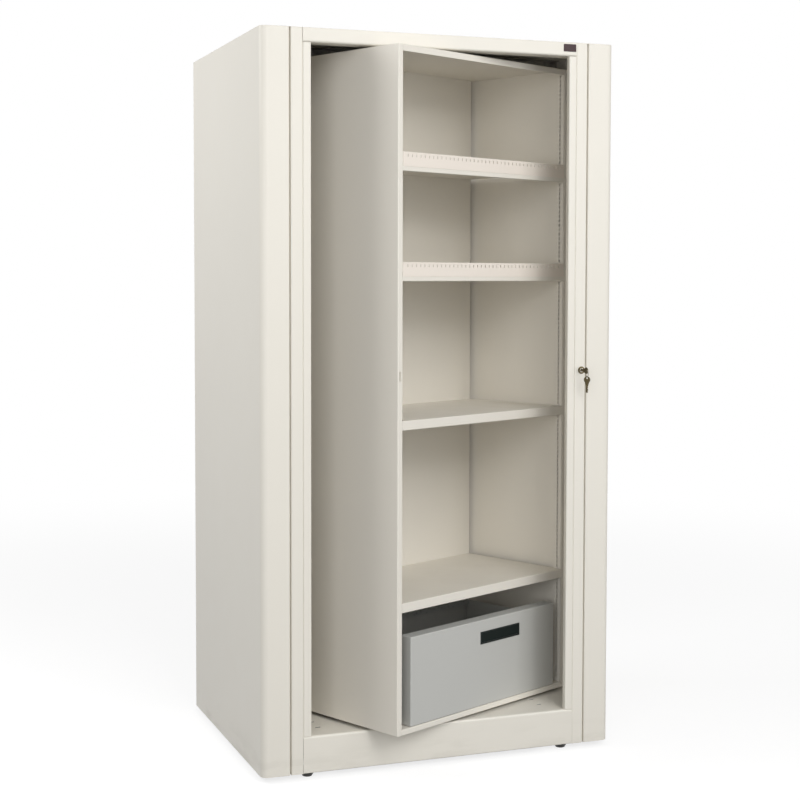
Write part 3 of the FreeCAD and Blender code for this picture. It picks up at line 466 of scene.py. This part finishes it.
# A wire wound in a helix whose axis lies along each place's facing
def coil(name, sizes, slotName, places, facings=None):
    tree = Growth(name, sizes)
    path = tree.add("GeometryNodeCurveSpiral", {}, {
        "Resolution": tree.size("Steps"), "Rotations": tree.size("Turns"), "Height": tree.size("Height"),
        "Start Radius": tree.size("Radius"), "End Radius": tree.size("Radius")})
    section = tree.add("GeometryNodeCurvePrimitiveCircle", {}, {
        "Resolution": tree.size("Sides"), "Radius": tree.size("Wire")})
    wire = tree.add("GeometryNodeCurveToMesh", {}, {
        "Curve": path, "Profile Curve": section, "Fill Caps": True})
    tree.ending(tree.atPlaces(wire), slotName)
    return tree.grown(name, places, facings)


# Turned shape from (radius, height) points, one at each place
def lathed(name, profile, places, width, steps):
    shape = bmesh.new()
    verts = [shape.verts.new((radius, 0, height)) for radius, height in profile]
    sides = [shape.edges.new(pair) for pair in zip(verts, verts[1:])]
    bmesh.ops.spin(shape, geom=verts + sides, axis=(0, 0, 1), cent=(0, 0, 0), steps=steps, angle=2 * pi)
    bmesh.ops.remove_doubles(shape, verts=shape.verts, dist=0.000001)
    bmesh.ops.recalc_face_normals(shape, faces=shape.faces)
    one = rounded(name + "One", plainMesh(name + "One", shape), width)
    whole = bmesh.new()
    for place in places:
        copy = one.copy()
        copy.transform(Matrix.Translation(place))
        whole.from_mesh(copy)
    return plainMesh(name, whole)


# Feet: threaded stems, and grip ribs round the moulded glides
stem = {"Radius": 0.0044, "Wire": 0.00055, "Turns": 24.0, "Height": 0.036, "Steps": 16, "Sides": 4}
stemCore = {"outside": 0.005, "foot": 0.0038, "top": 0.0036, "chamfer": 0.0008, "threadFrom": 0.0015,
            "easing": 0.0001, "steps": 24}
low, high = (Vector(corner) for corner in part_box("foot_stems"))
away = high - Vector((stemCore["outside"], stemCore["outside"], 0))
feet = [Vector((side * away.x, face * away.y, 0)) for side in (-1, 1) for face in (-1, 1)]
profile = [(0, low.z), (stemCore["foot"], low.z), (stem["Radius"], low.z + stemCore["chamfer"]),
           (stem["Radius"], high.z - stemCore["chamfer"]), (stemCore["top"], high.z), (0, high.z)]
stems = bmesh.new()
stems.from_mesh(lathed("stemCores", profile, feet, stemCore["easing"], stemCore["steps"]))
starts = [foot + Vector((0, 0, low.z + stemCore["threadFrom"])) for foot in feet]
stems.from_mesh(coil("stemThreads", stem, "zinc_steel", starts))
addPiece("threadedStems", plainMesh("threadedStems", stems), "zinc_steel", "housing", ["foot_stems"])

grip = {"Count": 36, "Ring Radius": 0.0174, "Rib Radius": 0.0006, "Rib Sides": 8, "Rib Height": 0.006}
gripMiddle = 0.0128  # height of the ribs' middle above the ground
tree = Growth("gripRibs", grip)
ring = tree.add("GeometryNodeMeshCircle", {}, {
    "Vertices": tree.size("Count"), "Radius": tree.size("Ring Radius")})
rib = tree.add("GeometryNodeMeshCylinder", {}, {
    "Vertices": tree.size("Rib Sides"), "Radius": tree.size("Rib Radius"), "Depth": tree.size("Rib Height")})
ribs = tree.add("GeometryNodeInstanceOnPoints", {}, {"Points": ring, "Instance": rib})
tree.ending(tree.atPlaces(ribs), "black_plastic")
mesh = tree.grown("gripRibs", [foot + Vector((0, 0, gripMiddle)) for foot in feet])
addPiece("footGripRibs", mesh, "black_plastic", "housing")
print("screws and feet ready")


# Flat key in its own plane: bow round (0, 0), blade along +x, cuts along one edge as (place, depth)
def keyShape(name, sizes, cuts):
    bow, neck, tip, half = sizes["bow"], sizes["neck"], sizes["tip"], sizes["half"]
    landing = sizes["landing"]
    start = radians(sizes["shoulder"])
    steps = sizes["bowSteps"]
    turns = [start + (2 * pi - 2 * start) * step / steps for step in range(steps + 1)]
    outline = [(bow * cos(turn), bow * sin(turn)) for turn in turns] + [(neck, -half)]
    for place, depth in cuts:
        at = neck + (tip - neck) * place
        outline += [(at - depth - landing, -half), (at - landing, depth - half),
                    (at + landing, depth - half), (at + depth + landing, -half)]
    outline += [(tip - half * 0.8, -half), (tip, -half * 0.2), (tip - half * 0.6, half), (neck, half)]
    holeSteps = sizes["holeSteps"]
    hole = [(sizes["hole"] * cos(turn) - sizes["holeOffset"], sizes["hole"] * sin(turn))
            for turn in (2 * pi * step / holeSteps for step in range(holeSteps))]
    shape = bmesh.new()
    for loop in (outline, hole):
        verts = [shape.verts.new((*point, -sizes["thickness"] / 2)) for point in loop]
        for pair in zip(verts, verts[1:] + verts[:1]):
            shape.edges.new(pair)
    bmesh.ops.triangle_fill(shape, edges=shape.edges, use_beauty=True, use_dissolve=False, normal=(0, 0, 1))
    raised = bmesh.ops.extrude_face_region(shape, geom=shape.faces[:])["geom"]
    tops = [item for item in raised if isinstance(item, bmesh.types.BMVert)]
    bmesh.ops.translate(shape, verts=tops, vec=(0, 0, sizes["thickness"]))
    bmesh.ops.recalc_face_normals(shape, faces=shape.faces)
    bmesh.ops.dissolve_limit(shape, angle_limit=radians(1), verts=shape.verts, edges=shape.edges)
    return rounded(name, plainMesh(name, shape), sizes["easing"])


keySizes = {
    "bow": 0.009, "bowSteps": 36, "shoulder": 52, "hole": 0.0026, "holeSteps": 20, "holeOffset": 0.0046,
    "neck": 0.0155, "tip": 0.042, "half": 0.0036, "landing": 0.0004, "thickness": 0.002, "easing": 0.00022,
}
spareSizes = {**keySizes, "tip": 0.036, "half": 0.003, "neck": 0.0165, "shoulder": 42}
spareCuts = [(0.144, 0.0009), (0.354, 0.0015), (0.554, 0.0007), (0.738, 0.0012)]
hang = {"turn": 40, "ringRadius": 0.008, "restBelowEye": 0.0015, "spareBelowRing": 0.0021}
low, high = (Vector(corner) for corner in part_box("key"))
eye = Vector(((low.x + high.x) / 2, low.y + keySizes["bow"] - keySizes["holeOffset"], (low.z + high.z) / 2))
basis = Matrix(((0, 0, 1), (1, 0, 0), (0, 1, 0))).to_4x4()
mesh = keyShape("lockKey", keySizes, [])
mesh.transform(Matrix.Translation((eye.x, low.y + keySizes["bow"], eye.z)) @ basis)
addPiece("lockKey", mesh, "key_nickel", "lock", ["key"])

# The split ring hangs in the key's eye, and the spare key hangs in the ring
splitRing = {"Radius": hang["ringRadius"], "Wire": 0.00046, "Turns": 2.0, "Height": 0.00088, "Steps": 64,
             "Sides": 10}
turn = Matrix.Rotation(radians(hang["turn"]), 4, "Z")
ringMiddle = eye - Vector((0, 0, hang["restBelowEye"] + hang["ringRadius"]))
facing = turn @ Vector((0, 1, 0))
place = ringMiddle - facing * splitRing["Height"] / 2
mesh = coil("splitRing", splitRing, "key_nickel", [place], [facing])
addPiece("splitRing", mesh, "key_nickel", "keys", ["key_ring"])

spareEye = ringMiddle - Vector((0, 0, hang["ringRadius"] + hang["spareBelowRing"]))
basis = Matrix(((0, 0, 1), (0, 1, 0), (-1, 0, 0))).to_4x4()
mesh = keyShape("spareKey", spareSizes, spareCuts)
toEye = Matrix.Translation((spareSizes["holeOffset"], 0, 0))
mesh.transform(Matrix.Translation(spareEye) @ turn @ basis @ toEye)
addPiece("spareKeyCut", mesh, "key_nickel", "keys", ["spare_key"])
print("lock and keys ready")


# Bare name plate with a raised rim round a sunk field
plate = {"corner": 0.0015, "tightest": 0.0004, "cornerSteps": 5, "rim": 0.0013, "sunk": 0.0005,
         "ease": 0.0003, "rounding": 0.00004}


# A rectangle in x and z, set in from the two corners, with its own corners rounded
def roundedLoop(low, high, inset):
    radius = max(plate["corner"] - inset, plate["tightest"])
    points = []
    for quarter, (x, z) in enumerate(((high.x, high.z), (low.x, high.z), (low.x, low.z), (high.x, low.z))):
        signX, signZ = (1 if x == high.x else -1), (1 if z == high.z else -1)
        middle = (x - signX * (inset + radius), z - signZ * (inset + radius))
        for step in range(plate["cornerSteps"] + 1):
            angle = (quarter + step / plate["cornerSteps"]) * pi / 2
            points.append((middle[0] + radius * cos(angle), middle[1] + radius * sin(angle)))
    return points


low, high = (Vector(corner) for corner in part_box("name_plate"))
levels = [(high.y, 0), (low.y + plate["ease"], 0), (low.y, plate["ease"]), (low.y, plate["rim"]),
          (low.y + plate["sunk"], plate["rim"] + plate["ease"])]
shape = bmesh.new()
rings = []
for depth, inset in levels:
    rings.append([shape.verts.new((x, depth, z)) for x, z in roundedLoop(low, high, inset)])
for inner, outer in zip(rings, rings[1:]):
    for i in range(len(inner)):
        j = (i + 1) % len(inner)
        shape.faces.new((inner[i], inner[j], outer[j], outer[i]))
shape.faces.new(rings[0])
shape.faces.new(rings[-1][::-1])
bmesh.ops.recalc_face_normals(shape, faces=shape.faces)
mesh = rounded("bareNamePlate", plainMesh("bareNamePlate", shape), plate["rounding"])
addPiece("bareNamePlate", mesh, "badge", "housing", ["name_plate"])
print("name plate ready")


# Studio: soft lamps as (place, aim, size, watts), an even sky and a pale floor that fades into white.
# Under the cabinet, in the field (axis, middle, half width) that shows through its floor slots, the floor's
# glow is taken away: a painted shadow that fades out past the cabinet's sides.
studio = {
    "sky": 0.29, "bounce": 0.2, "floor": 0.34, "glow": 0.76, "fadeFrom": 1.2, "fadeTo": 5.0, "reach": 60.0,
    "paintedShadowField": (("X", 0.05, 0.51), ("Y", 0.0, 0.24)), "paintedShadowFade": 0.06,
}
lamps = {
    "frontLow": ((-2.6, -4.2, 1.6), (0, 0, 1.0), 2.6, 59),
    "frontHigh": ((0.4, -4.6, 3.8), (0, -0.2, 1.0), 2.6, 102),
    "frontRight": ((2.2, -4.0, 1.8), (0.1, -0.2, 1.0), 3.0, 56),
    "sideLeft": ((-3.0, 0.7, 3.0), (-0.5, 0, 1.5), 1.8, 57),
}
for name, (place, aim, size, watts) in lamps.items():
    lamp = bpy.data.lights.new(name, "AREA")
    lamp.size, lamp.energy = size, watts
    holder = bpy.data.objects.new(name, lamp)
    scene.collection.objects.link(holder)
    holder.location = place
    holder.rotation_euler = (Vector(aim) - Vector(place)).to_track_quat("-Z", "Y").to_euler()


# 1 for rays that show the backdrop: straight from the camera, mirrored or through glass
def showing(graph):
    kinds = [graph.add("ShaderNodeLightPath", {}, {}, kind + " Ray")
             for kind in ("Is Camera", "Is Glossy", "Is Transmission")]
    return sum(kinds[1:], kinds[0]).within(0, 1)


world = bpy.data.worlds.new("studio")
world.use_nodes = True
scene.world = world
sky = Graph(world.node_tree)
backdrop = world.node_tree.nodes["Background"]
backdrop.inputs["Color"].default_value = (1, 1, 1, 1)
level = showing(sky) * (1 - studio["sky"]) + studio["sky"]
world.node_tree.links.new(level.socket, backdrop.inputs["Strength"])

reach = studio["reach"]
floorCorners = [(-reach, -reach, 0), (reach, -reach, 0), (reach, reach, 0), (-reach, reach, 0)]
floorMesh = bpy.data.meshes.new("floor")
floorMesh.from_pydata(floorCorners, [], [(0, 1, 2, 3)])
linked("floor", floorMesh)
black, white = (0.0, 0.0, 0.0), (1.0, 1.0, 1.0)
pale = Finish("pale floor", Roughness=0.9, Specular_IOR_Level=0.0, Emission_Strength=1.0)
distance = pale.add("ShaderNodeVectorMath", {"operation": "LENGTH"}, {0: pale.place}, "Value")
far = pale.ramp(distance, studio["fadeFrom"], studio["fadeTo"])
# Painted shadow: the floor's glow is cut to black under the cabinet and fades back in just past its sides
under = 1.0
for axis, middle, half in studio["paintedShadowField"]:
    along = pale.add("ShaderNodeSeparateXYZ", {}, {0: pale.place}, axis) - middle
    under = (1 - pale.ramp(along.math("ABSOLUTE", along), half - studio["paintedShadowFade"], half)) * under
shown = showing(pale)
surface = pale.mix(far, (studio["floor"],) * 3, black)
pale.feed("Base Color", pale.mix(shown, (studio["bounce"],) * 3, surface))
glow = pale.mix(far, (studio["glow"],) * 3, white)
glow = pale.mix(under, glow, black)
pale.feed("Emission Color", pale.mix(shown, black, glow))
floorMesh.materials.append(pale.material)

camera = {"lens": 67.5, "sensor": 36, "shift": (0.0754, -0.0603), "place": (-1.5583, -3.9995, 1.2958),
          "tilt": 87.2, "turn": -19.22}
lens = bpy.data.cameras.new("viewpoint")
lens.lens, lens.sensor_width = camera["lens"], camera["sensor"]
lens.shift_x, lens.shift_y = camera["shift"]
viewpoint = bpy.data.objects.new("viewpoint", lens)
scene.collection.objects.link(viewpoint)
viewpoint.location = camera["place"]
viewpoint.rotation_euler = (radians(camera["tilt"]), 0, radians(camera["turn"]))
scene.camera = viewpoint
scene.view_settings.view_transform = "Standard"
print("studio ready")
